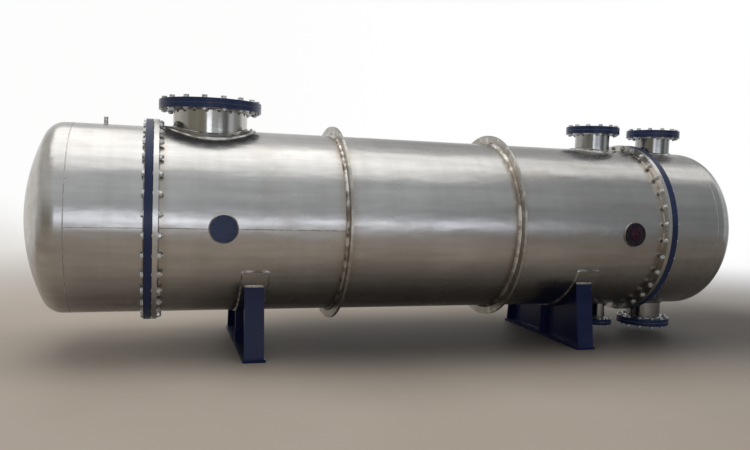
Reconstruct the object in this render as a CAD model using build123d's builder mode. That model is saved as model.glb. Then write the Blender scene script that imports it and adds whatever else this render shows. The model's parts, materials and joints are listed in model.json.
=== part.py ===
import os
from math import atan2, cos, pi, radians, sin, sqrt, tan

from build123d import *

os.makedirs("parts", exist_ok=True)

# Shell and tube heat exchanger on two saddles.
# Millimetres, +Z up, floor at Z = 0, vessel axis along X, overall length centred on X = 0.

# Fits
clear = 0.3

# Shell
tube_length = 3000.0
shell_bore = 1000.0
shell_wall = 8.0
floor_clearance = 207.0
ring_inset = 995.0
ring_projection = 55.0
ring_thickness = 14.0

# End closures
tubesheet_thickness = 25.0
body_flange_width = 42.0
body_flange_thickness = 38.0
body_bolt_count = 32
body_bolt_hole = 22.0
body_bolt_edge = 21.0
body_gasket_thickness = 3.0
bonnet_length = 364.0
head_straight = 38.0
head_crown_radius = 1016.0
head_knuckle_radius = 101.6

# Vent on the left bonnet
vent_reach = 250.0
vent_diameter = 22.0
vent_bore = 15.0
vent_height = 30.0

# Nozzle faces, measured from the vessel axis
nozzle_face = 632.0
raised_face = 2.0
raised_face_margin = 1.0
face_setback = 5.0
neck_inset = 6.0
pad_thickness = 8.0

# Vapour inlet
vapour_pad_gap = 25.0
vapour_neck_diameter = 406.4
vapour_neck_wall = 9.5
vapour_flange_width = 76.8
vapour_flange_thickness = 25.0
vapour_bolt_edge = 25.0
vapour_bolt_count = 16
vapour_bolt_hole = 27.0
vapour_pad_width = 46.8

# Shell and channel nozzles
shell_pad_gap = 50.0
channel_nozzle_gap = 97.45
channel_tail = 21.45
nozzle_neck_diameter = 219.1
nozzle_neck_wall = 8.2
nozzle_flange_width = 60.45
nozzle_flange_thickness = 22.0
nozzle_bolt_edge = 22.5
nozzle_bolt_count = 12
nozzle_bolt_hole = 22.0
shell_pad_width = 40.45

# Shell drain
drain_inset = 115.0
drain_neck_diameter = 88.9
drain_neck_wall = 5.5
drain_flange_width = 48.05
drain_flange_thickness = 18.0
drain_bolt_edge = 17.5
drain_bolt_count = 8
drain_bolt_hole = 19.0

# Side ports on the front
left_port_inset = 341.0
right_port_inset = 235.0
port_drop = 14.0
port_bore = 110.0
port_wall = 15.0
port_stand = 5.0
port_cover_thickness = 6.0

# Saddles
left_saddle_inset = 515.0
right_saddle_inset = 501.0
wear_pad_width = 135.0
wear_pad_thickness = 8.0
wear_pad_half_angle = 62.0
end_plate_width = 104.0
end_plate_thickness = 12.0
end_plate_foot = 460.0
end_plate_lean = 8.4
web_thickness = 12.0
rib_thickness = 12.0
base_overhang = 6.0
base_side = 8.0
base_thickness = 16.0
anchor_edge_x = 24.0
anchor_edge_y = 166.0
anchor_hole = 22.0
anchor_slot = 36.0

# What follows from the sizes above
shell_inner = shell_bore / 2
shell_outer = shell_inner + shell_wall
axis_height = shell_outer + floor_clearance
tubesheet_face = tube_length / 2
shell_end = tubesheet_face - tubesheet_thickness
body_flange_outer = shell_outer + body_flange_width
gasket_end = tubesheet_face + body_gasket_thickness
flange_end = gasket_end + body_flange_thickness
bonnet_end = flange_end + bonnet_length
channel_length = channel_nozzle_gap + nozzle_neck_diameter + channel_tail
channel_end = flange_end + channel_length
tube_middle = (bonnet_length - channel_length) / 2
ring_reach = tubesheet_face - ring_inset
vent_x = tube_middle - (tubesheet_face + vent_reach)
vapour_flange_diameter = vapour_neck_diameter + 2 * vapour_flange_width
vapour_pad_diameter = vapour_neck_diameter + 2 * vapour_pad_width
vapour_x = tube_middle - (shell_end - vapour_pad_gap - vapour_pad_diameter / 2)
vapour_pcd = vapour_flange_diameter - 2 * vapour_bolt_edge
channel_nozzle_x = tube_middle + flange_end + channel_nozzle_gap + nozzle_neck_diameter / 2
nozzle_flange_diameter = nozzle_neck_diameter + 2 * nozzle_flange_width
nozzle_pcd = nozzle_flange_diameter - 2 * nozzle_bolt_edge
shell_pad_diameter = nozzle_neck_diameter + 2 * shell_pad_width
shell_nozzle_x = tube_middle + shell_end - shell_pad_gap - shell_pad_diameter / 2
drain_x = tube_middle + tubesheet_face - drain_inset
drain_flange_diameter = drain_neck_diameter + 2 * drain_flange_width
drain_pcd = drain_flange_diameter - 2 * drain_bolt_edge
left_port_x = tube_middle - (tubesheet_face - left_port_inset)
right_port_x = tube_middle + tubesheet_face - right_port_inset
left_saddle_x = tube_middle - (tubesheet_face - left_saddle_inset)
right_saddle_x = tube_middle + tubesheet_face - right_saddle_inset
port_diameter = port_bore + 2 * port_wall
port_height = axis_height - port_drop
base_length = 2 * (end_plate_foot + base_overhang)
base_width = end_plate_width + 2 * base_side
anchor_spacing_x = base_width - 2 * anchor_edge_x
anchor_spacing_y = base_length - 2 * anchor_edge_y
pad_inner = shell_outer + clear
wear_outer = pad_inner + wear_pad_thickness
vessel_axis = Axis((0, 0, axis_height), (1, 0, 0))


def along(side, reach):
    """The place on X that lies that far from the middle of the tubes, to the left or the right."""
    return tube_middle + side * reach


def save(part, label):
    part.label = label
    export_step(part, "parts/" + label + ".step")


def course(x_start, x_end, top_cuts, bottom_cuts, side_cuts):
    """A rolled length of shell, with its holes given as pairs of place and radius."""
    with BuildPart() as body:
        with BuildSketch(Plane.YZ.offset(x_start)):
            with Locations((0, axis_height)):
                Circle(shell_outer)
                Circle(shell_inner, mode=Mode.SUBTRACT)
        extrude(amount=x_end - x_start)
        for x, radius in top_cuts:
            with BuildSketch(Plane.XY.offset(axis_height)):
                with Locations((x, 0)):
                    Circle(radius)
            extrude(amount=2 * shell_outer, mode=Mode.SUBTRACT)
        for x, radius in bottom_cuts:
            with BuildSketch(Plane.XY.offset(axis_height)):
                with Locations((x, 0)):
                    Circle(radius)
            extrude(amount=-2 * shell_outer, mode=Mode.SUBTRACT)
        for x, radius in side_cuts:
            with BuildSketch(Plane.XZ):
                with Locations((x, port_height)):
                    Circle(radius)
            extrude(amount=2 * shell_outer, mode=Mode.SUBTRACT)
    return body.part


def axial_disc(x_start, x_end, outer, inner, holes=0):
    """A flat ring square to the vessel axis, or a full disc where inner is nothing, with its bolt holes."""
    with BuildPart() as disc:
        with BuildSketch(Plane.YZ.offset(x_start)):
            with Locations((0, axis_height)):
                Circle(outer)
                if inner:
                    Circle(inner, mode=Mode.SUBTRACT)
                if holes:
                    with PolarLocations(outer - body_bolt_edge, holes, start_angle=180 / holes):
                        Circle(body_bolt_hole / 2, mode=Mode.SUBTRACT)
        extrude(amount=x_end - x_start)
    return disc.part


def dished_head(side, start):
    """A torispherical end with its straight flange, pointing away from the middle."""
    tangent = start + head_straight
    reach = sqrt((head_crown_radius - head_knuckle_radius) ** 2 - (shell_outer - head_knuckle_radius) ** 2)
    crown_x = tangent - reach
    knuckle_z = shell_outer - head_knuckle_radius
    join = atan2(knuckle_z, reach)
    turn = (pi / 2 + join) / 2

    def at(x, z):
        return (along(side, x), axis_height + z)

    def on_knuckle(angle, radius):
        return at(tangent + radius * cos(angle), knuckle_z + radius * sin(angle))

    def on_crown(angle, radius):
        return at(crown_x + radius * cos(angle), radius * sin(angle))

    inner_knuckle = head_knuckle_radius - shell_wall
    inner_crown = head_crown_radius - shell_wall
    with BuildPart() as head:
        with BuildSketch(Plane.XZ):
            with BuildLine():
                Line(at(start, shell_outer), at(tangent, shell_outer))
                ThreePointArc(
                    at(tangent, shell_outer),
                    on_knuckle(turn, head_knuckle_radius),
                    on_crown(join, head_crown_radius),
                )
                ThreePointArc(
                    on_crown(join, head_crown_radius),
                    on_crown(join / 2, head_crown_radius),
                    on_crown(0, head_crown_radius),
                )
                Line(on_crown(0, head_crown_radius), on_crown(0, inner_crown))
                ThreePointArc(
                    on_crown(0, inner_crown),
                    on_crown(join / 2, inner_crown),
                    on_crown(join, inner_crown),
                )
                ThreePointArc(
                    on_crown(join, inner_crown),
                    on_knuckle(turn, inner_knuckle),
                    at(tangent, shell_inner),
                )
                Line(at(tangent, shell_inner), at(start, shell_inner))
                Line(at(start, shell_inner), at(start, shell_outer))
            make_face()
        revolve(axis=vessel_axis)
    return head.part


def neck(x, side, diameter, wall):
    """A straight pipe from inside the shell hole to just short of the flange face."""
    outer = diameter / 2
    start = sqrt(shell_inner**2 - outer**2) - neck_inset
    with BuildPart() as pipe:
        with BuildSketch(Plane.XY.offset(axis_height + side * start)):
            with Locations((x, 0)):
                Circle(outer)
                Circle(outer - wall, mode=Mode.SUBTRACT)
        extrude(amount=side * (nozzle_face - face_setback - start))
    return pipe.part


def nozzle_plate(x, side, start, thickness, diameter, bore, pcd, count, hole):
    """A flange, or a blind with a raised face where bore is nothing; holes straddle the centreline."""
    with BuildPart() as plate:
        with BuildSketch(Plane.XY.offset(axis_height + side * start)):
            with Locations((x, 0)):
                Circle(diameter / 2)
                if bore:
                    Circle(bore / 2, mode=Mode.SUBTRACT)
                with PolarLocations(pcd / 2, count, start_angle=180 / count):
                    Circle(hole / 2, mode=Mode.SUBTRACT)
        extrude(amount=side * thickness)
        if not bore:
            with BuildSketch(Plane.XY.offset(axis_height + side * nozzle_face)):
                with Locations((x, 0)):
                    Circle((pcd - hole) / 2 - raised_face_margin)
            extrude(amount=side * raised_face)
    return plate.part


def reinforcing_pad(x, side, diameter, neck_diameter):
    """A plate rolled to the shell, round the foot of a neck."""
    with BuildPart() as pad:
        with BuildSketch(Plane.XY.offset(axis_height)):
            with Locations((x, 0)):
                Circle(diameter / 2)
                Circle(neck_diameter / 2 + clear, mode=Mode.SUBTRACT)
        extrude(amount=side * 2 * shell_outer)
        with BuildSketch(Plane.YZ.offset(x - diameter)):
            with Locations((0, axis_height)):
                Circle(pad_inner + pad_thickness)
                Circle(pad_inner, mode=Mode.SUBTRACT)
        extrude(amount=2 * diameter, mode=Mode.INTERSECT)
    return pad.part


# Shell courses, meeting under the stiffening rings
left_top = [(vapour_x, vapour_neck_diameter / 2 + clear)]
right_top = [(shell_nozzle_x, nozzle_neck_diameter / 2 + clear)]
right_bottom = [(drain_x, drain_neck_diameter / 2 + clear)]
left_side = [(left_port_x, port_diameter / 2 + clear)]
right_side = [(right_port_x, port_diameter / 2 + clear)]
left_joint = along(-1, ring_reach)
right_joint = along(1, ring_reach)
save(course(along(-1, shell_end), left_joint, left_top, [], left_side), "shell_left_course")
save(course(left_joint, right_joint, [], [], []), "shell_middle_course")
save(course(right_joint, along(1, shell_end), right_top, right_bottom, right_side), "shell_right_course")
for joint, name in ((left_joint, "left"), (right_joint, "right")):
    start = joint - ring_thickness / 2
    ring = axial_disc(start, start + ring_thickness, shell_outer + ring_projection, shell_outer + clear)
    save(ring, name + "_stiffening_ring")

# Tubesheets, gaskets, body flanges and dished ends
for side, barrel_end, name in ((-1, bonnet_end, "left"), (1, channel_end, "right")):
    inboard = along(side, shell_end)
    face = along(side, tubesheet_face)
    seat = along(side, gasket_end)
    outboard = along(side, flange_end)
    save(axial_disc(inboard, face, body_flange_outer, 0, body_bolt_count), name + "_tubesheet")
    save(axial_disc(face, seat, shell_outer, shell_inner), name + "_body_gasket")
    save(axial_disc(seat, outboard, body_flange_outer, shell_inner, body_bolt_count), name + "_body_flange")
    save(dished_head(side, barrel_end), name + "_dished_head")

# Bonnet and channel barrels
vent_cut = [(vent_x, vent_diameter / 2 + clear)]
channel_cut = [(channel_nozzle_x, nozzle_neck_diameter / 2 + clear)]
bonnet = course(along(-1, bonnet_end), along(-1, flange_end), vent_cut, [], [])
save(bonnet, "left_bonnet_barrel")
channel = course(along(1, flange_end), along(1, channel_end), channel_cut, channel_cut, [])
save(channel, "right_channel_barrel")

# Vent on the left bonnet
with BuildPart() as vent:
    with BuildSketch(Plane.XY.offset(axis_height + shell_inner - neck_inset)):
        with Locations((vent_x, 0)):
            Circle(vent_diameter / 2)
            Circle(vent_bore / 2, mode=Mode.SUBTRACT)
    extrude(amount=neck_inset + shell_wall + vent_height)
save(vent.part, "bonnet_vent")

# Blanked nozzles
vapour_size = (
    vapour_neck_diameter,
    vapour_neck_wall,
    vapour_flange_diameter,
    vapour_flange_thickness,
    vapour_pcd,
    vapour_bolt_count,
    vapour_bolt_hole,
)
nozzle_size = (
    nozzle_neck_diameter,
    nozzle_neck_wall,
    nozzle_flange_diameter,
    nozzle_flange_thickness,
    nozzle_pcd,
    nozzle_bolt_count,
    nozzle_bolt_hole,
)
drain_size = (
    drain_neck_diameter,
    drain_neck_wall,
    drain_flange_diameter,
    drain_flange_thickness,
    drain_pcd,
    drain_bolt_count,
    drain_bolt_hole,
)
for name, x, side, size in (
    ("vapour", vapour_x, 1, vapour_size),
    ("shell_nozzle", shell_nozzle_x, 1, nozzle_size),
    ("channel_top_nozzle", channel_nozzle_x, 1, nozzle_size),
    ("channel_bottom_nozzle", channel_nozzle_x, -1, nozzle_size),
    ("drain", drain_x, -1, drain_size),
):
    diameter, wall, rim, thickness, pcd, count, hole = size
    save(neck(x, side, diameter, wall), name + "_neck")
    back = nozzle_face - thickness
    flange = nozzle_plate(x, side, back, thickness, rim, diameter + 2 * clear, pcd, count, hole)
    save(flange, name + "_flange")
    blind = nozzle_plate(x, side, nozzle_face + raised_face, thickness, rim, 0, pcd, count, hole)
    save(blind, name + "_blind")
save(reinforcing_pad(vapour_x, 1, vapour_pad_diameter, vapour_neck_diameter), "vapour_pad")
save(reinforcing_pad(shell_nozzle_x, 1, shell_pad_diameter, nozzle_neck_diameter), "shell_nozzle_pad")

# Side ports
port_start = sqrt(shell_inner**2 - (port_diameter / 2 + port_drop) ** 2) - neck_inset
port_face = shell_outer + port_stand
for x, name in ((left_port_x, "left_port"), (right_port_x, "right_port")):
    with BuildPart() as boss:
        with BuildSketch(Plane.XZ.offset(port_start)):
            with Locations((x, port_height)):
                Circle(port_diameter / 2)
                Circle(port_bore / 2, mode=Mode.SUBTRACT)
        extrude(amount=port_face - port_start)
    save(boss.part, name + "_boss")
    with BuildPart() as cover:
        with BuildSketch(Plane.XZ.offset(port_face)):
            with Locations((x, port_height)):
                Circle(port_diameter / 2)
        extrude(amount=port_cover_thickness)
    save(cover.part, name + "_cover")

# Saddles with leaning end plates: round anchor holes on the left, slots along the vessel on the right
plate_inner = end_plate_foot - end_plate_thickness / cos(radians(end_plate_lean))
plate_shift = (axis_height - base_thickness) * tan(radians(end_plate_lean))
pad_reach_y = 2 * shell_outer * sin(radians(wear_pad_half_angle))
pad_reach_z = axis_height - 2 * shell_outer * cos(radians(wear_pad_half_angle))
for x, sliding, name in ((left_saddle_x, False, "left_saddle"), (right_saddle_x, True, "right_saddle")):
    with BuildPart() as wear_pad:
        with BuildSketch(Plane.YZ.offset(x - wear_pad_width / 2)):
            with Locations((0, axis_height)):
                Circle(wear_outer)
                Circle(pad_inner, mode=Mode.SUBTRACT)
            with BuildLine():
                Polyline(
                    (0, axis_height),
                    (-pad_reach_y, pad_reach_z),
                    (0, axis_height - 4 * shell_outer),
                    (pad_reach_y, pad_reach_z),
                    close=True,
                )
            make_face(mode=Mode.INTERSECT)
        extrude(amount=wear_pad_width)
    save(wear_pad.part, name + "_wear_pad")

    with BuildPart() as web:
        with BuildSketch(Plane.YZ.offset(x - web_thickness / 2)):
            with BuildLine():
                Polyline(
                    (-plate_inner, base_thickness),
                    (plate_inner, base_thickness),
                    (plate_inner - plate_shift, axis_height),
                    (plate_shift - plate_inner, axis_height),
                    close=True,
                )
            make_face()
            with Locations((0, axis_height)):
                Circle(wear_outer + clear, mode=Mode.SUBTRACT)
        extrude(amount=web_thickness)
    save(web.part, name + "_web")

    rib_width = (end_plate_width - web_thickness) / 2
    rib_place = (web_thickness + rib_width) / 2
    with BuildPart() as stiffeners:
        for hand in (-1, 1):
            with BuildSketch(Plane.YZ.offset(x - end_plate_width / 2)):
                with BuildLine():
                    Polyline(
                        (hand * end_plate_foot, base_thickness),
                        (hand * plate_inner, base_thickness),
                        (hand * (plate_inner - plate_shift), axis_height),
                        (hand * (end_plate_foot - plate_shift), axis_height),
                        close=True,
                    )
                make_face()
            extrude(amount=end_plate_width)
        with BuildSketch(Plane.XY.offset(base_thickness)):
            with Locations((x - rib_place, 0), (x + rib_place, 0)):
                Rectangle(rib_width, rib_thickness)
        extrude(amount=axis_height - base_thickness)
        with BuildSketch(Plane.YZ.offset(x - end_plate_width)):
            with Locations((0, axis_height)):
                Circle(wear_outer + clear)
        extrude(amount=2 * end_plate_width, mode=Mode.SUBTRACT)
    save(stiffeners.part, name + "_stiffeners")

    with BuildPart() as base:
        with BuildSketch(Plane.XY):
            with Locations((x, 0)):
                Rectangle(base_width, base_length)
                with GridLocations(anchor_spacing_x, anchor_spacing_y, 2, 2):
                    if sliding:
                        SlotOverall(anchor_slot, anchor_hole, mode=Mode.SUBTRACT)
                    else:
                        Circle(anchor_hole / 2, mode=Mode.SUBTRACT)
        extrude(amount=base_thickness)
    save(base.part, name + "_base")
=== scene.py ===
import json
from math import acos, asin, ceil, cos, pi, radians, sin, sqrt, tan

import bpy
import numpy as np
from mathutils import Matrix, Vector


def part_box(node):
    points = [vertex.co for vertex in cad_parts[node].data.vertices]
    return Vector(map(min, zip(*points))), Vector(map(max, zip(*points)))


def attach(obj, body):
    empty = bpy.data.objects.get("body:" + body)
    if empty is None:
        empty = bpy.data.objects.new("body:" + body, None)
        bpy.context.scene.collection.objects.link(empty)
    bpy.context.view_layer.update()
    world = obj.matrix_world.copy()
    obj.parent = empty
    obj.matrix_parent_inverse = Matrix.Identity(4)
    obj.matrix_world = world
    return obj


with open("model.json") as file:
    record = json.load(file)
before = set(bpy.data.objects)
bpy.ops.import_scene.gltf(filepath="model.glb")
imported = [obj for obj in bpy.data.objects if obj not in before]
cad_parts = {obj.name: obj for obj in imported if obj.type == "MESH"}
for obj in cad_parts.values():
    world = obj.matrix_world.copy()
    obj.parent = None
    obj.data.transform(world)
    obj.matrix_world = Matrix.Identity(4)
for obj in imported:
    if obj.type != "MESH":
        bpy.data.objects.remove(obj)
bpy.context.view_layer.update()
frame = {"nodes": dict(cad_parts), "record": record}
nodes = frame["nodes"]
mounts = {mount["name"]: mount for mount in frame["record"]["mounts"]}
random = np.random.RandomState(7)


def half_width(node):
    """Half of a node's size along X, which is the radius of an upright round part."""
    low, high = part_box(node)
    return (high.x - low.x) / 2


# Places and sizes read from the frame, in metres
shell_low, shell_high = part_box("shell_middle_course")
axis_z = (shell_low.z + shell_high.z) / 2
shell_radius = (shell_high.z - shell_low.z) / 2
pad_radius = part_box("vapour_pad")[1].z - axis_z
rim_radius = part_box("left_body_flange")[1].z - axis_z
sides = {-1: "left", 1: "right"}
sheet_x = {-1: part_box("left_tubesheet")[1].x, 1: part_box("right_tubesheet")[0].x}
flange_x = {-1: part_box("left_body_flange")[0].x, 1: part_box("right_body_flange")[1].x}
girth_x = {-1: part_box("left_bonnet_barrel")[0].x, 1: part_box("right_channel_barrel")[1].x}
ring_x = {side: [corner.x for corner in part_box(name + "_stiffening_ring")] for side, name in sides.items()}

# Fasteners: thread diameter, width across flats, head and nut heights, length of thread past the nut
VAPOUR_BOLT = {"thread": 0.018, "flats": 0.028, "head": 0.013, "nut": 0.008, "end": 0.002}
NOZZLE_BOLT = {"thread": 0.015, "flats": 0.023, "head": 0.010, "nut": 0.007, "end": 0.002}
LEFT_BODY_BOLT = {"thread": 0.020, "flats": 0.027, "head": 0.011, "nut": 0.014, "end": 0.009}
RIGHT_BODY_BOLT = {"thread": 0.018, "flats": 0.025, "head": 0.010, "nut": 0.009, "end": 0.003}
DRAIN_BOLT = {"thread": 0.013, "flats": 0.020, "head": 0.008, "nut": 0.006, "end": 0.002}
BODY_BOLTS = 32
BODY_BOLT_EDGE = 0.021
WASHER = 0.003

# Weld beads
BEAD_STEP = 0.004
RIPPLE_PITCH = 0.011
ROOT = 0.0015
BEAD_SHARP = 60.0


class Shape:
    """Points and faces gathered for one mesh."""

    def __init__(self):
        self.points = []
        self.faces = []

    def rings(self, rings, closed_path=False):
        """Joins rings of equal count, one after another, with a face over each open end."""
        start = len(self.points)
        count = len(rings[0])
        for ring in rings:
            self.points.extend(tuple(point) for point in ring)
        last = len(rings) if closed_path else len(rings) - 1
        for i in range(last):
            first = start + i * count
            second = start + (i + 1) % len(rings) * count
            for j in range(count):
                k = (j + 1) % count
                self.faces.append((first + j, first + k, second + k, second + j))
        if not closed_path:
            self.faces.append(tuple(start + j for j in reversed(range(count))))
            self.faces.append(tuple(start + (len(rings) - 1) * count + j for j in range(count)))

    def piece(self, name, material, sharp=38.0):
        """Makes the mesh object, riding on the one body."""
        mesh = bpy.data.meshes.new(name)
        mesh.from_pydata(self.points, [], self.faces)
        mesh.validate()
        mesh.polygons.foreach_set("use_smooth", [True] * len(mesh.polygons))
        mesh.set_sharp_from_angle(angle=radians(sharp))
        mesh.materials.append(material)
        made = bpy.data.objects.new(name, mesh)
        bpy.context.scene.collection.objects.link(made)
        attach(made, "root")


def turned(shape, origin, axis, profile, count=24, spin=0.0, flats=0.0):
    """A turned or hexagonal solid: profile holds (radius, height) along the axis; flats caps the radius."""
    turn = Vector(axis).to_track_quat("Z", "Y").to_matrix()
    rings = []
    for radius, height in profile:
        ring = []
        for j in range(count):
            angle = 2 * pi * j / count
            reach = radius
            if flats:
                reach = min(radius, flats / 2 / cos((angle + pi / 6) % (pi / 3) - pi / 6))
            local = Vector((reach * cos(angle + spin), reach * sin(angle + spin), height))
            ring.append(Vector(origin) + turn @ local)
        rings.append(ring)
    shape.rings(rings)


def hexagon(shape, origin, axis, flats, height, spin, both=False):
    """A hexagonal head or nut with its round chamfer on the outer end, or on both ends."""
    corner = flats / sqrt(3)
    cut = 0.475 * flats
    drop = (corner - cut) * tan(radians(30))
    top = [(corner, height - drop), ((corner + cut) / 2, height - drop / 2), (cut, height)]
    bottom = [(cut, 0), ((corner + cut) / 2, drop / 2), (corner, drop)] if both else [(corner, 0)]
    turned(shape, origin, axis, bottom + top, 24, spin, flats)


def thread_profile(diameter, length, pitch):
    """Crests and roots of a thread, ending in a chamfer."""
    depth = 0.5 * pitch
    profile = [(diameter / 2 - depth, 0)]
    for i in range(int(length / pitch)):
        profile.append((diameter / 2, (i + 0.5) * pitch))
        profile.append((diameter / 2 - depth, (i + 1) * pitch))
    profile.append((diameter / 2 - 1.6 * depth, length))
    return profile


def bolt(shape, head_seat, nut_seat, size):
    """One bolt: washer and head on one seat, washer, nut and thread end on the other, shank between."""
    outward = (Vector(head_seat) - Vector(nut_seat)).normalized()
    washer = [(size["thread"], 0), (size["thread"], 0.7 * WASHER), (0.94 * size["thread"], WASHER)]
    for seat, axis, height, both in (
        (head_seat, outward, size["head"], False),
        (nut_seat, -outward, size["nut"], True),
    ):
        turned(shape, seat, axis, washer)
        on_washer = Vector(seat) + WASHER * axis
        hexagon(shape, on_washer, axis, size["flats"], height, random.uniform(0, pi / 3), both)
    end = Vector(nut_seat) - outward * (WASHER + size["nut"])
    turned(shape, end, -outward, thread_profile(size["thread"], size["end"], size["thread"] / 8), 16)
    grip = (Vector(head_seat) - Vector(nut_seat)).length
    turned(shape, nut_seat, outward, [(size["thread"] / 2, 0), (size["thread"] / 2, grip)], 12)


def bead(shape, stations, section, closed):
    """Sweeps a weld section along stations of point, first and second direction, rippled and uneven."""
    count = len(stations)
    places = np.array([station[0] for station in stations])
    steps = np.linalg.norm(np.diff(places, axis=0), axis=1)
    run = np.concatenate([[0], np.cumsum(steps)])
    knots = max(4, int(run[-1] / 0.035))
    levels = random.uniform(-1, 1, knots + 1)
    if closed:
        levels[-1] = levels[0]
    uneven = np.interp(run / max(run[-1], 1e-6) * knots, range(knots + 1), levels)
    phase = random.uniform(0, pi)
    rings = []
    for i, (point, first, second) in enumerate(stations):
        ripple = abs(sin(pi * run[i] / RIPPLE_PITCH + phase))
        wide = 1 + 0.10 * uneven[i]
        tall = 1 + 0.08 * uneven[i] + 0.10 * (ripple - 0.6)
        if not closed and i in (0, count - 1):
            wide, tall = 0.6 * wide, 0.5 * tall
        ring = []
        for u, v in section:
            ring.append(Vector(point) + Vector(first) * u * wide + Vector(second) * v * tall)
        rings.append(ring)
    shape.rings(rings, closed_path=closed)


def fillet(first_leg, second_leg):
    """A slightly proud fillet weld between two faces."""
    return [
        (-ROOT, -ROOT),
        (first_leg, -ROOT),
        (0.92 * first_leg, 0.14 * second_leg),
        (0.62 * first_leg, 0.50 * second_leg),
        (0.50 * first_leg, 0.62 * second_leg),
        (0.14 * first_leg, 0.92 * second_leg),
        (-ROOT, second_leg),
    ]


def cap(half, height):
    """The low crown of a butt weld."""
    return [
        (-half, -ROOT),
        (half, -ROOT),
        (0.85 * half, 0.30 * height),
        (0.45 * half, 0.85 * height),
        (0.0, height),
        (-0.45 * half, 0.85 * height),
        (-0.85 * half, 0.30 * height),
    ]


# Weld sections, in metres along each leg, or half width and height
PAD_EDGE_FILLET = fillet(0.005, 0.0045)
PAD_NECK_FILLET = fillet(0.005, 0.005)
NECK_FILLET = fillet(0.009, 0.009)
FLANGE_FILLET = fillet(0.006, 0.006)
RING_LEFT_FILLET = fillet(0.014, 0.014)
RING_RIGHT_FILLET = fillet(0.010, 0.010)
END_FILLET = fillet(0.006, 0.004)
PORT_FILLET = fillet(0.006, 0.005)
VENT_FILLET = fillet(0.005, 0.005)
WEAR_PAD_FILLET = fillet(0.008, 0.008)
PLATE_TOP_FILLET = fillet(0.009, 0.007)
WEB_FILLET = fillet(0.006, 0.006)
PLATE_FOOT_FILLET = fillet(0.005, 0.006)
GIRTH_CAP = cap(0.0030, 0.0006)
SEAM_CAP = cap(0.0030, 0.0007)


def from_axis(angle):
    """The direction away from the vessel axis, at an angle from the top towards the back."""
    return Vector((0, sin(angle), cos(angle)))


def hoop(x, radius, first, start=0.0, end=2 * pi):
    """Stations round the vessel at x; the second direction points away from the axis."""
    closed = end - start >= 2 * pi - 1e-6
    count = max(12, ceil(radius * (end - start) / BEAD_STEP))
    stations = []
    for i in range(count if closed else count + 1):
        outward = from_axis(start + (end - start) * i / count)
        stations.append((Vector((x, 0, axis_z)) + radius * outward, Vector((first, 0, 0)), outward))
    return stations


def line(start, end, first, second):
    """Stations along a straight run."""
    start, end = Vector(start), Vector(end)
    count = max(4, ceil((end - start).length / BEAD_STEP))
    return [(start.lerp(end, i / count), Vector(first), Vector(second)) for i in range(count + 1)]


def meeting(foot, axis, radius, surface):
    """Stations where a round part, whose centreline runs along axis through foot, meets the round shell.

    The first direction lies on the shell and leads away from the part. The second is the axis.
    """
    axis, foot = Vector(axis), Vector(foot)
    across = Vector((1, 0, 0))
    over = axis.cross(across)
    vessel = Vector((0, 0, axis_z))
    count = ceil(2 * pi * radius / BEAD_STEP)
    stations = []
    for i in range(count):
        angle = 2 * pi * i / count
        away = across * cos(angle) + over * sin(angle)
        point = foot + radius * away
        aside = (point - vessel).dot(over)
        height = sqrt(surface**2 - aside**2)
        point += (height - (point - vessel).dot(axis)) * axis
        normal = (over * aside + axis * height) / surface
        stations.append((point, (away - away.dot(normal) * normal).normalized(), axis))
    return stations


def level_circle(centre, radius, second):
    """Stations on a level circle; the first direction leads away from its centre."""
    count = ceil(2 * pi * radius / BEAD_STEP)
    stations = []
    for i in range(count):
        away = Vector((cos(2 * pi * i / count), sin(2 * pi * i / count), 0))
        stations.append((Vector(centre) + radius * away, away, Vector(second)))
    return stations


# Finishes
class Graph:
    """Short calls for the nodes that the materials and the world use."""

    def __init__(self, tree, coordinates):
        self.tree = tree
        self.place = self.add("ShaderNodeTexCoord").outputs[coordinates]

    def add(self, kind, **settings):
        made = self.tree.nodes.new(kind)
        for key, value in settings.items():
            setattr(made, key, value)
        return made

    def put(self, socket, value):
        if isinstance(value, bpy.types.NodeSocket):
            self.tree.links.new(value, socket)
        else:
            socket.default_value = value

    def math(self, operation, first, second=0.0, clamp=False):
        made = self.add("ShaderNodeMath", operation=operation, use_clamp=clamp)
        self.put(made.inputs[0], first)
        self.put(made.inputs[1], second)
        return made.outputs[0]

    def vector(self, operation, first, second=(0, 0, 0)):
        made = self.add("ShaderNodeVectorMath", operation=operation)
        self.put(made.inputs[0], first)
        self.put(made.inputs[1], second)
        return made.outputs["Value" if operation in ("LENGTH", "DOT_PRODUCT") else "Vector"]

    def noise(self, stretch, detail=3.0, roughness=0.55):
        made = self.add("ShaderNodeTexNoise")
        self.put(made.inputs["Vector"], self.vector("MULTIPLY", self.place, stretch))
        made.inputs["Scale"].default_value = 1.0
        made.inputs["Detail"].default_value = detail
        made.inputs["Roughness"].default_value = roughness
        return made.outputs[0]

    def ramp(self, value, low, high, to_low=0.0, to_high=1.0):
        made = self.add("ShaderNodeMapRange", interpolation_type="SMOOTHSTEP")
        self.put(made.inputs["Value"], value)
        made.inputs["From Min"].default_value = low
        made.inputs["From Max"].default_value = high
        made.inputs["To Min"].default_value = to_low
        made.inputs["To Max"].default_value = to_high
        return made.outputs["Result"]

    def mix(self, factor, first, second, blend="MIX"):
        made = self.add("ShaderNodeMix", data_type="RGBA", blend_type=blend)
        self.put(made.inputs["Factor"], factor)
        for socket, value in ((made.inputs[6], first), (made.inputs[7], second)):
            self.put(socket, value if isinstance(value, bpy.types.NodeSocket) else (*value, 1.0))
        return made.outputs[2]

    def part(self, letter, value=None):
        split = self.add("ShaderNodeSeparateXYZ")
        self.put(split.inputs[0], self.place if value is None else value)
        return split.outputs[letter]


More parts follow.
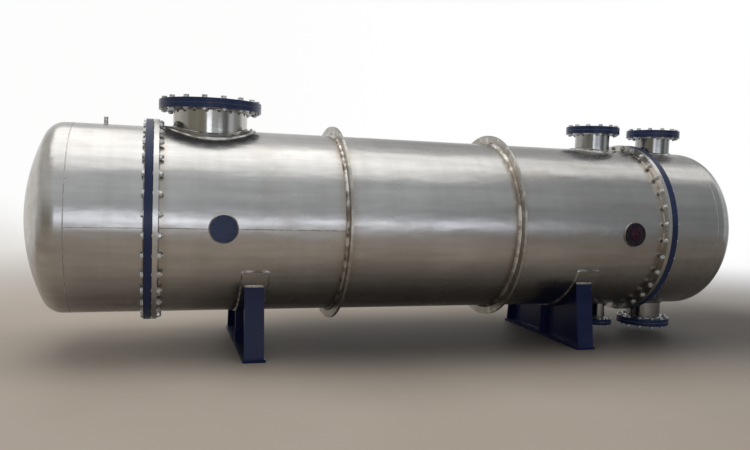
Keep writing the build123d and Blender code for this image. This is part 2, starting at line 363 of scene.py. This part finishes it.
class Finish(Graph):
    """A node material."""

    def __init__(self, name):
        self.material = bpy.data.materials.new(name)
        self.material.use_nodes = True
        super().__init__(self.material.node_tree, "Object")
        self.shader = self.tree.nodes["Principled BSDF"]
        self.normal = self.add("ShaderNodeNewGeometry").outputs["Normal"]

    def edges(self, width):
        """Near one on outside and inside edges, nothing on open faces."""
        rounded = self.add("ShaderNodeBevel", samples=4)
        rounded.inputs["Radius"].default_value = width
        turn = self.vector("DOT_PRODUCT", rounded.outputs[0], self.normal)
        return self.ramp(turn, 0.80, 0.99, 1.0, 0.0)

    def bump(self, layers):
        """Stacks bump layers, each of height, strength and distance."""
        normal = None
        for height, strength, distance in layers:
            made = self.add("ShaderNodeBump")
            made.inputs["Strength"].default_value = strength
            made.inputs["Distance"].default_value = distance
            self.put(made.inputs["Height"], height)
            if normal is not None:
                self.put(made.inputs["Normal"], normal)
            normal = made.outputs[0]
        self.put(self.shader.inputs["Normal"], normal)

    def surface(self, colour, roughness, metallic=0.0):
        """Sets the colour and sheen, and gives the material."""
        self.put(self.shader.inputs["Base Color"], colour)
        self.put(self.shader.inputs["Roughness"], roughness)
        self.shader.inputs["Metallic"].default_value = metallic
        return self.material


def near_places(finish, places, wander, reach, strength):
    """Strength close to the given places on X, falling to nothing at reach, with a wavy border."""
    x = finish.part("X")
    nearest = None
    for place in places:
        gap = finish.math("ABSOLUTE", finish.math("SUBTRACT", x, place))
        nearest = gap if nearest is None else finish.math("MINIMUM", nearest, gap)
    waver = finish.math("MULTIPLY", finish.math("SUBTRACT", wander, 0.5), 1.2 * reach)
    return finish.ramp(finish.math("ADD", nearest, waver), 0.2 * reach, reach, strength, 0.0)


def rolled_sheet(name, dark, light, rough, grain, heat_places=(), uneven=1.0):
    """Mill finish sheet: clouded, faintly banded along its grain, tinted by heat beside welds."""
    finish = Finish(name)
    cloud = finish.noise((2.3, 2.3, 2.3), 6.0, 0.6)
    band = finish.noise(grain, 3.0, 0.5)
    hoops = finish.noise((17, 0.9, 0.9), 3.0, 0.5)
    brush = finish.noise((9, 260, 260), 3.0)
    smudge = finish.noise((3.0, 6.5, 6.5), 3.0, 0.5)
    tone = finish.math("ADD", finish.math("MULTIPLY", cloud, 0.45), finish.math("MULTIPLY", band, 0.4))
    tone = finish.math("ADD", tone, finish.math("MULTIPLY", hoops, 0.15))
    colour = finish.mix(finish.ramp(tone, 0.30, 0.70), dark, light)
    stain = finish.ramp(smudge, 0.50, 0.78, 0.0, 0.30)
    colour = finish.mix(stain, colour, (0.32, 0.275, 0.23))
    if heat_places:
        colour = finish.mix(near_places(finish, heat_places, cloud, 0.06, 0.30), colour, (0.33, 0.25, 0.17))
    rubbed = finish.ramp(tone, 0.3, 0.7, rough + 0.03, rough)
    wave = finish.noise((2.4, 6.5, 6.5), 2.0)
    dents = finish.noise((7, 20, 20), 2.0)
    finish.bump([
        (wave, 0.42 * uneven, 0.010),
        (dents, 0.20 * uneven, 0.003),
        (hoops, 0.03, 0.002),
        (brush, 0.05, 0.0003),
    ])
    return finish.surface(colour, finish.math("ADD", rubbed, finish.math("MULTIPLY", stain, 0.3)), 1.0)


def cut_plate(name, dark, light, spots, rough):
    """Dull plate with ground patches and dark scale."""
    finish = Finish(name)
    cloud = finish.noise((6, 6, 6), 5.0, 0.6)
    patch = finish.noise((24, 24, 24), 3.0)
    grit = finish.noise((180, 180, 180), 3.0)
    colour = finish.mix(finish.ramp(cloud, 0.35, 0.65), dark, light)
    colour = finish.mix(finish.ramp(patch, 0.55, 0.68, 0.0, 0.75), colour, spots)
    colour = finish.mix(finish.ramp(cloud, 0.56, 0.72, 0.0, 0.45), colour, (0.22, 0.18, 0.14))
    finish.bump([(patch, 0.10, 0.002), (grit, 0.25, 0.0006)])
    return finish.surface(colour, finish.ramp(grit, 0.3, 0.7, rough, rough + 0.14), 1.0)


def weld_metal(name, dark, light):
    """Weld bead: bright and dark runs, with scale in spots."""
    finish = Finish(name)
    spots = finish.noise((70, 70, 70), 3.0)
    bands = finish.noise((15, 15, 15), 2.0)
    colour = finish.mix(finish.ramp(bands, 0.38, 0.62), dark, light)
    colour = finish.mix(finish.ramp(spots, 0.58, 0.70, 0.0, 0.7), colour, (0.15, 0.12, 0.10))
    finish.bump([(spots, 0.5, 0.0012)])
    return finish.surface(colour, finish.ramp(spots, 0.3, 0.7, 0.28, 0.50), 1.0)


def navy_enamel(name, dark, light, gloss):
    """Brushed-on gloss enamel: orange peel, a little dust on flat tops, a paler blue along every edge, and
    paint worn in chips at edges.
    """
    finish = Finish(name)
    cloud = finish.noise((3.5, 3.5, 3.5), 4.0)
    peel = finish.noise((150, 150, 150), 2.0)
    chips = finish.noise((38, 38, 38), 5.0, 0.65)
    colour = finish.mix(finish.ramp(cloud, 0.35, 0.65), dark, light)
    edge = finish.edges(0.003)
    colour = finish.mix(finish.math("MULTIPLY", edge, 0.30), colour, (0.04, 0.05, 0.12))
    worn = finish.math("MULTIPLY", edge, finish.ramp(chips, 0.62, 0.70))
    colour = finish.mix(worn, colour, (0.16, 0.15, 0.15))
    upward = finish.ramp(finish.part("Z", finish.normal), 0.7, 1.0)
    dust = finish.math("MULTIPLY", upward, finish.ramp(cloud, 0.3, 0.7, 0.04, 0.20))
    colour = finish.mix(dust, colour, (0.16, 0.17, 0.20))
    rough = finish.math("ADD", finish.ramp(cloud, 0.3, 0.7, 0.20, 0.30), finish.math("MULTIPLY", dust, 0.8))
    finish.bump([(cloud, 0.08, 0.006), (peel, 0.08, 0.0008)])
    finish.shader.inputs["Specular IOR Level"].default_value = gloss
    return finish.surface(colour, rough)


def zinc():
    """Mottled plated fasteners."""
    finish = Finish("zinc_fastener")
    mottle = finish.noise((70, 70, 70), 4.0)
    fine = finish.noise((600, 600, 600), 2.0)
    colour = finish.mix(finish.ramp(mottle, 0.35, 0.65), (0.52, 0.515, 0.50), (0.80, 0.80, 0.79))
    finish.bump([(fine, 0.2, 0.0004)])
    return finish.surface(colour, finish.ramp(mottle, 0.3, 0.7, 0.30, 0.48), 0.8)


def gasket(name, dark, light):
    """Matt fibre sheet."""
    finish = Finish(name)
    fibre = finish.noise((240, 240, 900), 3.0)
    colour = finish.mix(finish.ramp(fibre, 0.35, 0.65), dark, light)
    finish.bump([(fibre, 0.3, 0.0006)])
    return finish.surface(colour, finish.ramp(fibre, 0.3, 0.7, 0.62, 0.85))


def satin(name, dark, light, rough):
    """Moulded or painted trim with a fine texture and paler edges."""
    finish = Finish(name)
    cloud = finish.noise((30, 30, 30), 4.0)
    fine = finish.noise((420, 420, 420), 2.0)
    colour = finish.mix(finish.ramp(cloud, 0.35, 0.65), dark, light)
    colour = finish.mix(finish.math("MULTIPLY", finish.edges(0.002), 0.2), colour, (0.10, 0.09, 0.10))
    finish.bump([(fine, 0.15, 0.0004)])
    finish.shader.inputs["Specular IOR Level"].default_value = 0.2
    return finish.surface(colour, finish.ramp(cloud, 0.3, 0.7, rough, rough + 0.15))


# Grain: along the vessel on rolled sheet, upright on the necks, which are also smoother
ROLLED = (1.8, 22, 22)
DRAWN = (19, 19, 0.7)
PIPE_UNEVEN = 0.25
heat_places = [*ring_x[-1], *ring_x[1], sheet_x[-1], sheet_x[1]]
sheet_steel = rolled_sheet(
    "stainless_sheet", (0.43, 0.42, 0.405), (0.58, 0.57, 0.555), 0.24, ROLLED, heat_places
)
pipe_steel = rolled_sheet(
    "stainless_pipe", (0.36, 0.345, 0.30), (0.56, 0.555, 0.54), 0.09, DRAWN, uneven=PIPE_UNEVEN
)
# The branch necks take a darker, rougher copy of the pipe steel; the darker colour is painted shade from
# their flanges.
branch_steel_painted_shade = rolled_sheet(
    "stainless_branch_painted_shade", (0.24, 0.235, 0.225), (0.41, 0.41, 0.405), 0.16, DRAWN, uneven=PIPE_UNEVEN
)
plate_steel = cut_plate(
    "stainless_plate", (0.36, 0.345, 0.31), (0.50, 0.485, 0.45), (0.70, 0.68, 0.64), 0.30
)
rim_steel = rolled_sheet("stainless_rim", (0.50, 0.49, 0.47), (0.62, 0.61, 0.59), 0.26, ROLLED)
bright_weld = weld_metal("bright_weld", (0.25, 0.215, 0.18), (0.80, 0.785, 0.76))
dull_weld = weld_metal("dull_weld", (0.24, 0.21, 0.18), (0.44, 0.42, 0.39))
ground_weld = weld_metal("ground_weld", (0.40, 0.385, 0.36), (0.54, 0.53, 0.51))
navy = navy_enamel("navy_enamel", (0.009, 0.014, 0.056), (0.016, 0.024, 0.080), 0.13)
# Flanges, blinds and the left port take a lighter copy of the navy enamel; the extra lightness is a painted
# reflection.
flange_navy_painted_reflection = navy_enamel("navy_flange_enamel_painted_reflection", (0.021, 0.033, 0.084), (0.035, 0.052, 0.122), 0.20)
bolt_metal = zinc()
body_gasket = gasket("body_gasket_fibre", (0.02, 0.02, 0.022), (0.05, 0.05, 0.055))
face_gasket = gasket("face_gasket_fibre", (0.16, 0.16, 0.24), (0.28, 0.28, 0.37))
black = satin("black_cover", (0.014, 0.012, 0.020), (0.026, 0.021, 0.034), 0.30)
maroon = satin("maroon_plug", (0.026, 0.004, 0.012), (0.048, 0.008, 0.024), 0.32)

node_finishes = (
    (("gasket",), body_gasket),
    (("right_port_cover", "right_port_boss"), black),
    # Flanges, blinds and the left port: the lighter navy with its painted reflection.
    (("_flange", "_blind", "left_port_cover", "left_port_boss"), flange_navy_painted_reflection),
    (("_web", "_stiffeners", "_base"), navy),
    # Branch necks: the darker copy of the pipe steel, a painted shade.
    (("nozzle_neck", "drain_neck"), branch_steel_painted_shade),
    (("_neck", "vent"), pipe_steel),
    (("_tubesheet",), rim_steel),
    (("_ring",), plate_steel),
)
for name, node in nodes.items():
    chosen = next((finish for endings, finish in node_finishes if name.endswith(endings)), sheet_steel)
    node.data.materials.clear()
    node.data.materials.append(chosen)

# Bolts round the two body flanges: heads on the navy side, nuts on the shell side
for side, name in sides.items():
    bolts = Shape()
    circle = rim_radius - BODY_BOLT_EDGE
    for i in range(BODY_BOLTS):
        place = Vector((0, 0, axis_z)) + circle * from_axis(2 * pi * (i + 0.5) / BODY_BOLTS)
        head_seat = place + Vector((flange_x[side], 0, 0))
        nut_seat = place + Vector((sheet_x[side], 0, 0))
        bolt(bolts, head_seat, nut_seat, LEFT_BODY_BOLT if side < 0 else RIGHT_BODY_BOLT)
    bolts.piece(name + "_body_flange_bolts", bolt_metal)

# Bolts, gaskets and welds of the blanked nozzles
nozzles = {
    "vapour_inlet": ("vapour", VAPOUR_BOLT),
    "shell_nozzle": ("shell_nozzle", NOZZLE_BOLT),
    "channel_top_nozzle": ("channel_top_nozzle", NOZZLE_BOLT),
    "channel_bottom_nozzle": ("channel_bottom_nozzle", NOZZLE_BOLT),
    "shell_drain": ("drain", DRAIN_BOLT),
}
GASKET_TURNS = 96
GASKET_EDGE = 0.0015
GASKET_LAYER = (0.0001, 0.0019)
for mount_name, (stem, size) in nozzles.items():
    mount = mounts[mount_name]
    side = 1 if mount["axis"][2] > 0 else -1
    x, _, face_z = mount["pos_m"]
    circle = mount["dims"]["pcd_mm"] / 2000
    count = mount["dims"]["count"]
    blind_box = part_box(stem + "_blind")
    flange_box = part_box(stem + "_flange")
    head_z = blind_box[1].z if side > 0 else blind_box[0].z
    nut_z = flange_box[0].z if side > 0 else flange_box[1].z
    bolts = Shape()
    for i in range(count):
        angle = 2 * pi * (i + 0.5) / count
        px, py = x + circle * cos(angle), circle * sin(angle)
        bolt(bolts, (px, py, head_z), (px, py, nut_z), size)
    bolts.piece(stem + "_bolts", bolt_metal)

    outer = half_width(stem + "_flange") - GASKET_EDGE
    inner = circle + mount["dims"]["hole_r_mm"] / 1000 + GASKET_EDGE
    low, high = (face_z + side * lift for lift in GASKET_LAYER)
    strip = Shape()
    rings = []
    for radius, height in ((inner, low), (outer, low), (outer, high), (inner, high)):
        turns = (2 * pi * j / GASKET_TURNS for j in range(GASKET_TURNS))
        rings.append([(x + radius * cos(turn), side * radius * sin(turn), height) for turn in turns])
    strip.rings(rings, closed_path=True)
    strip.piece(stem + "_gasket", face_gasket)

    neck_radius = half_width(stem + "_neck")
    welds = Shape()
    foot = (x, 0, axis_z)
    if stem + "_pad" in nodes:
        pad_edge = half_width(stem + "_pad")
        bead(welds, meeting(foot, (0, 0, side), pad_edge, shell_radius), PAD_EDGE_FILLET, True)
        bead(welds, meeting(foot, (0, 0, side), neck_radius, pad_radius), PAD_NECK_FILLET, True)
    else:
        bead(welds, meeting(foot, (0, 0, side), neck_radius, shell_radius), NECK_FILLET, True)
    bead(welds, level_circle((x, 0, nut_z), neck_radius, (0, 0, -side)), FLANGE_FILLET, True)
    welds.piece(stem + "_welds", bright_weld, BEAD_SHARP)

# Welds round the vessel
for side, name in sides.items():
    ring_weld = Shape()
    low_face, high_face = ring_x[side]
    bead(ring_weld, hoop(low_face, shell_radius, -1), RING_LEFT_FILLET, True)
    bead(ring_weld, hoop(high_face, shell_radius, 1), RING_RIGHT_FILLET, True)
    ring_weld.piece(name + "_ring_weld", bright_weld, BEAD_SHARP)
    girth = Shape()
    bead(girth, hoop(girth_x[side], shell_radius, 1), GIRTH_CAP, True)
    girth.piece(name + "_girth_weld", ground_weld, BEAD_SHARP)
    ends = Shape()
    bead(ends, hoop(flange_x[side], shell_radius, side), END_FILLET, True)
    bead(ends, hoop(sheet_x[side], shell_radius, -side), END_FILLET, True)
    ends.piece(name + "_end_welds", dull_weld, BEAD_SHARP)

# Longitudinal seams: on the bonnet and the left course just under the front centreline
seams = {
    "bonnet": (girth_x[-1], flange_x[-1], -91.8),
    "left": (sheet_x[-1], ring_x[-1][0], -91.8),
    "middle": (ring_x[-1][1], ring_x[1][0], 60.0),
    "right": (ring_x[1][1], sheet_x[1], 118.0),
    "channel": (flange_x[1], girth_x[1], 64.0),
}
for name, (start, end, degrees) in seams.items():
    outward = from_axis(radians(degrees))
    across = outward.cross(Vector((1, 0, 0)))
    foot = Vector((0, 0, axis_z)) + shell_radius * outward
    seam = Shape()
    run = line(foot + Vector((start, 0, 0)), foot + Vector((end, 0, 0)), across, outward)
    bead(seam, run, SEAM_CAP, False)
    # The left course's seam takes the darker dull weld, a painted shadow line; the other seams are ground.
    seam.piece(name + "_long_seam", dull_weld if name == "left" else ground_weld, BEAD_SHARP)

# Side ports: boss weld, cover screws and the maroon plug
COVER_SCREWS = 8
SCREW_CIRCLE = 0.82
SCREW_FLATS = 0.010
SCREW_HEAD = 0.004
# The left cover screws take the lighter navy with its painted reflection.
for name, screw_finish, slot in (("left", flange_navy_painted_reflection, "navy_enamel"), ("right", black, "dark_cover")):
    low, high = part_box(name + "_port_cover")
    centre = Vector(((low.x + high.x) / 2, low.y, (low.z + high.z) / 2))
    radius = half_width(name + "_port_cover")
    port_weld = Shape()
    foot = (centre.x, 0, centre.z)
    bead(port_weld, meeting(foot, (0, -1, 0), radius, shell_radius), PORT_FILLET, True)
    port_weld.piece(name + "_port_weld", dull_weld, BEAD_SHARP)
    screws = Shape()
    for i in range(COVER_SCREWS):
        angle = 2 * pi * (i + 0.5) / COVER_SCREWS
        seat = centre + SCREW_CIRCLE * radius * Vector((cos(angle), 0, sin(angle)))
        hexagon(screws, seat, (0, -1, 0), SCREW_FLATS, SCREW_HEAD, random.uniform(0, pi / 3))
    screws.piece(name + "_port_screws", screw_finish)
plug_profile = [
    (0.038, 0.0),
    (0.038, 0.004),
    (0.035, 0.007),
    (0.027, 0.0085),
    (0.024, 0.006),
    (0.010, 0.006),
    (0.008, 0.0075),
]
plug = Shape()
turned(plug, centre, (0, -1, 0), plug_profile, 48)
plug.piece("right_port_plug", maroon)

# Vent: thread, plug and weld
vent_low, vent_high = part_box("bonnet_vent")
vent_radius = half_width("bonnet_vent")
vent_place = Vector(((vent_low.x + vent_high.x) / 2, 0, vent_high.z))
VENT_PLUG_FLATS = 0.021
VENT_PLUG_HEIGHT = 0.009
THREAD_LENGTH = 0.014
THREAD_PITCH = 0.0022
THREAD_PROUD = 0.0014
THREAD_LIP = 0.001
vent_plug = Shape()
turned(vent_plug, vent_place, (0, 0, 1), [(0.9 * vent_radius, -0.004), (0.9 * vent_radius, THREAD_LIP)])
plug_seat = vent_place + Vector((0, 0, THREAD_LIP))
hexagon(vent_plug, plug_seat, (0, 0, 1), VENT_PLUG_FLATS, VENT_PLUG_HEIGHT, 0.3, True)
thread_foot = vent_place - Vector((0, 0, THREAD_LENGTH))
thread = thread_profile(2 * vent_radius + THREAD_PROUD, THREAD_LENGTH - THREAD_LIP, THREAD_PITCH)
turned(vent_plug, thread_foot, (0, 0, 1), thread)
vent_plug.piece("bonnet_vent_plug", bolt_metal)
vent_weld = Shape()
vent_foot = (vent_place.x, 0, axis_z)
bead(vent_weld, meeting(vent_foot, (0, 0, 1), vent_radius, shell_radius), VENT_FILLET, True)
vent_weld.piece("bonnet_vent_weld", dull_weld, BEAD_SHARP)

# Tell-tale plugs near the edge of the reinforcing pads
TELL_TALE_FLATS = 0.013
TELL_TALE_HEIGHT = 0.008
tell_tales = Shape()
for stem, turn in (("vapour", -8.0), ("shell_nozzle", -100.0)):
    low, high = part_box(stem + "_pad")
    reach = (half_width(stem + "_pad") + half_width(stem + "_neck")) / 2
    px = (low.x + high.x) / 2 + reach * cos(radians(turn))
    py = reach * sin(radians(turn))
    normal = Vector((0, py, sqrt(pad_radius**2 - py**2))) / pad_radius
    seat = Vector((px, 0, axis_z)) + pad_radius * normal
    hexagon(tell_tales, seat - 0.0005 * normal, normal, TELL_TALE_FLATS, TELL_TALE_HEIGHT, 0.2)
tell_tales.piece("pad_tell_tales", bolt_metal)

# Saddle welds: bare round the wear pad, painted between the navy plates
for name in sides.values():
    stem = name + "_saddle"
    pad_low, pad_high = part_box(stem + "_wear_pad")
    plate_low, plate_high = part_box(stem + "_stiffeners")
    web_low, web_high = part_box(stem + "_web")
    base_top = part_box(stem + "_base")[1].z
    wear_radius = axis_z - pad_low.z
    half_angle = acos((axis_z - pad_high.z) / shell_radius)
    start, end = pi - half_angle, pi + half_angle
    pad_weld = Shape()
    bead(pad_weld, hoop(pad_low.x, shell_radius, -1, start, end), WEAR_PAD_FILLET, False)
    bead(pad_weld, hoop(pad_high.x, shell_radius, 1, start, end), WEAR_PAD_FILLET, False)
    for angle, onward in ((start, -1), (end, 1)):
        outward = from_axis(angle)
        onto_shell = onward * outward.cross(Vector((-1, 0, 0)))
        foot = Vector((0, 0, axis_z)) + shell_radius * outward
        run = line(foot + Vector((pad_low.x, 0, 0)), foot + Vector((pad_high.x, 0, 0)), onto_shell, outward)
        bead(pad_weld, run, WEAR_PAD_FILLET, False)
    plate_y = sqrt(wear_radius**2 - (axis_z - plate_high.z) ** 2)
    for hand in (-1, 1):
        outward = Vector((0, hand * plate_y, plate_high.z - axis_z)) / wear_radius
        onto_pad = Vector((0, -hand * outward.z, hand * outward.y))
        down = Vector((0, hand * (-plate_low.y - plate_y), base_top - plate_high.z)).normalized()
        top = Vector((0, hand * plate_y, plate_high.z))
        run = line(top + Vector((plate_low.x, 0, 0)), top + Vector((plate_high.x, 0, 0)), onto_pad, down)
        bead(pad_weld, run, PLATE_TOP_FILLET, False)
    pad_weld.piece(stem + "_pad_weld", bright_weld, BEAD_SHARP)

    painted = Shape()
    reach = asin(0.94 * plate_y / wear_radius)
    for face_x, onward in ((web_low.x, -1), (web_high.x, 1)):
        bead(painted, hoop(face_x, wear_radius, onward, pi - reach, pi + reach), WEB_FILLET, False)
        web_foot = Vector((face_x, web_low.y, base_top)), Vector((face_x, web_high.y, base_top))
        bead(painted, line(*web_foot, (onward, 0, 0), (0, 0, 1)), WEB_FILLET, False)
    for y, hand in ((plate_low.y, -1), (plate_high.y, 1)):
        foot_line = line((plate_low.x, y, base_top), (plate_high.x, y, base_top), (0, hand, 0), (0, 0, 1))
        bead(painted, foot_line, PLATE_FOOT_FILLET, False)
    painted.piece(stem + "_plate_welds", navy, BEAD_SHARP)

# Stage: camera
SENSOR = 36.0
IMAGE_WIDTH = 750
FOCAL_PIXELS = 712.523
camera_place = Vector((-1.4681, -4.1320, 0.9546))
yaw, pitch, roll = radians(17.075), radians(3.350), radians(1.987)
forward = Vector((sin(yaw) * cos(pitch), cos(yaw) * cos(pitch), -sin(pitch)))
level = Vector((cos(yaw), -sin(yaw), 0))
right = level * cos(roll) + level.cross(forward) * sin(roll)
up = right.cross(forward)
camera_data = bpy.data.cameras.new("camera")
camera_data.sensor_width = SENSOR
camera_data.lens = FOCAL_PIXELS / IMAGE_WIDTH * SENSOR
camera = bpy.data.objects.new("camera", camera_data)
bpy.context.scene.collection.objects.link(camera)
camera.matrix_world = Matrix((
    (right.x, up.x, -forward.x, camera_place.x),
    (right.y, up.y, -forward.y, camera_place.y),
    (right.z, up.z, -forward.z, camera_place.z),
    (0, 0, 0, 1),
))
bpy.context.scene.camera = camera
bpy.context.scene.view_settings.view_transform = "Standard"

# Studio walls, as pairs of height and grey level: in front of the vessel, then behind it
WALL_LEVELS = (
    (0.0, 0.44),
    (0.25, 0.46),
    (0.42, 0.54),
    (0.60, 0.74),
    (0.72, 0.60),
    (0.87, 0.64),
    (1.0, 0.70),
)
BACK_LEVELS = ((0.0, 1.0), (0.24, 1.0), (0.34, 0.50), (0.60, 0.40), (1.0, 0.70))
LEFT_WALL = (0.54, 0.50, 0.44)
BACK_LEFT = (0.96, 0.96, 0.95)
DARK_WALL = (0.28, 0.265, 0.225)
FRONT_TINT = (0.955, 0.995, 1.03)
AMBIENT = 0.30
FLOOR_COLOURS = ((0.64, 0.55, 0.46), (0.68, 0.59, 0.50))
FLOOR_SHIFT = (0.0, 3.0, 0.0)
SHADE_MIDDLE, SHADE_HALF = 1.25, 1.45
FLOOR_NEAR, FLOOR_FAR, FLOOR_HALF = 4.2, 9.5, 500.0


def grey_steps(graph, value, levels):
    """Grey levels along a value from nothing to one."""
    made = graph.add("ShaderNodeValToRGB")
    stops = made.color_ramp.elements
    while len(stops) < len(levels):
        stops.new(0.5)
    for stop, (place, level) in zip(stops, levels):
        stop.position = place
        stop.color = (level, level, level, 1)
    graph.put(made.inputs[0], value)
    return made.outputs["Color"]


def wall_colour(graph, direction):
    """What the studio shows in a direction."""
    x, y, z = (graph.part(letter, direction) for letter in "XYZ")
    height = graph.math("MAXIMUM", z, 0.0)
    dimmer = graph.ramp(x, 0.15, 0.75, 1.0, 0.40)
    dimmer = graph.math("ADD", dimmer, graph.ramp(x, 0.74, 0.86, 0.0, 1.00))
    dimmer = graph.math("ADD", dimmer, graph.ramp(x, 0.90, 0.99, 0.0, -0.50))
    front = graph.mix(1.0, grey_steps(graph, height, WALL_LEVELS), dimmer, "MULTIPLY")
    front = graph.mix(1.0, front, FRONT_TINT, "MULTIPLY")
    back = grey_steps(graph, height, BACK_LEVELS)
    back = graph.mix(graph.ramp(x, 0.12, 0.36, 0.45, 0.0), back, BACK_LEFT)
    walls = graph.mix(graph.ramp(y, 0.0, 0.6), front, back)
    walls = graph.mix(graph.ramp(x, -0.55, -0.22, 0.5, 0.0), walls, LEFT_WALL)
    low = graph.ramp(height, 0.10, 0.36, 1.0, 0.0)
    low_left = graph.math("MULTIPLY", graph.ramp(x, -0.45, -0.20, 1.0, 0.0), low)
    low_left = graph.math("MULTIPLY", low_left, graph.ramp(y, -0.45, 0.0, 1.0, 0.0))
    return graph.mix(low_left, walls, DARK_WALL)


def floor_material():
    """Pale floor with painted shade, darker under the vessel and towards the right, that fades with distance
    into a glow in the wall colours.
    """
    finish = Finish("pale_floor")
    cloud = finish.noise((0.8, 0.8, 0.8), 4.0)
    fine = finish.noise((14, 14, 14), 4.0)
    colour = finish.mix(finish.ramp(cloud, 0.3, 0.7), *FLOOR_COLOURS)
    x, y = finish.part("X"), finish.part("Y")
    # Painted shade: the floor colour is darkened to a quarter under the vessel and to about half towards the
    # right.
    aside = finish.math("ABSOLUTE", finish.math("SUBTRACT", x, SHADE_MIDDLE))
    beyond = finish.math("SUBTRACT", aside, SHADE_HALF)
    beyond = finish.math("MAXIMUM", beyond, 0.0)
    square = finish.math("ADD", finish.math("POWER", beyond, 2.0), finish.math("MULTIPLY", y, y))
    under = finish.ramp(finish.math("SQRT", square), 0.2, 1.5, 0.25, 1.0)
    shade = finish.math("MULTIPLY", under, finish.ramp(x, 0.0, 3.0, 1.0, 0.55))
    colour = finish.mix(1.0, colour, shade, "MULTIPLY")
    finish.bump([(fine, 0.05, 0.002)])
    finish.surface(colour, 0.65)
    glow = finish.add("ShaderNodeEmission")
    finish.put(glow.inputs["Color"], wall_colour(finish, finish.vector("NORMALIZE", finish.place)))
    away = finish.vector("LENGTH", finish.vector("ADD", finish.place, FLOOR_SHIFT))
    blend = finish.add("ShaderNodeMixShader")
    finish.put(blend.inputs[0], finish.ramp(away, FLOOR_NEAR, FLOOR_FAR))
    finish.put(blend.inputs[1], finish.shader.outputs[0])
    finish.put(blend.inputs[2], glow.outputs[0])
    finish.put(finish.tree.nodes["Material Output"].inputs["Surface"], blend.outputs[0])
    return finish.material


floor_mesh = bpy.data.meshes.new("floor")
corners = [(-1, -1), (1, -1), (1, 1), (-1, 1)]
floor_mesh.from_pydata([(FLOOR_HALF * x, FLOOR_HALF * y, 0) for x, y in corners], [], [(0, 1, 2, 3)])
floor_mesh.materials.append(floor_material())
floor = bpy.data.objects.new("floor", floor_mesh)
bpy.context.scene.collection.objects.link(floor)

world = bpy.data.worlds.new("studio")
world.use_nodes = True
bpy.context.scene.world = world
studio = Graph(world.node_tree, "Generated")
rays = studio.add("ShaderNodeLightPath").outputs
seen = studio.math("ADD", rays["Is Camera Ray"], rays["Is Glossy Ray"])
seen = studio.math("ADD", seen, rays["Is Transmission Ray"], clamp=True)
backdrop = world.node_tree.nodes["Background"]
shown = studio.mix(seen, (AMBIENT, AMBIENT, AMBIENT), wall_colour(studio, studio.place))
studio.put(backdrop.inputs["Color"], shown)
backdrop.inputs["Strength"].default_value = 1.0


def softbox(name, place, aim, width, depth, radiance, colour):
    """An area lamp that shows in the metal at the given radiance."""
    data = bpy.data.lights.new(name, "AREA")
    data.shape = "RECTANGLE"
    data.size = width
    data.size_y = depth
    data.energy = radiance * width * depth * pi
    data.color = colour
    lamp = bpy.data.objects.new(name, data)
    bpy.context.scene.collection.objects.link(lamp)
    lamp.location = place
    lamp.rotation_mode = "QUATERNION"
    lamp.rotation_quaternion = (Vector(aim) - Vector(place)).to_track_quat("-Z", "Y")
    lamp.visible_camera = False


WARM = (1.0, 0.98, 0.95)
COOL = (0.84, 0.88, 1.0)
CEILING = 4.6
FRONT = -10.0
for name, x, y, width, depth, radiance in (
    ("overhead_left", -1.8, 0.05, 4.8, 2.0, 1.30),
    ("overhead_middle", 1.4, 0.05, 1.6, 2.0, 1.05),
    ("overhead_right", 4.3, 0.05, 4.2, 2.0, 0.90),
    ("overhead_back", -2.6, 2.3, 2.2, 2.4, 1.25),
    ("overhead_front", -0.6, -1.55, 5.6, 1.2, 0.80),
):
    softbox(name, (x, y, CEILING), (x, y, 0.0), width, depth, radiance, WARM)
for name, x, z, width, depth, radiance in (
    ("window_left", -2.5, 1.20, 2.6, 2.30, 2.00),
    ("window_middle", 0.6, 0.86, 3.6, 1.60, 1.75),
    ("window_right", 3.8, 1.05, 2.8, 1.60, 1.75),
    ("window_far", 6.4, 1.00, 2.4, 1.60, 0.30),
):
    softbox(name, (x, FRONT, z), (x, 0.0, z), width, depth, radiance, COOL)
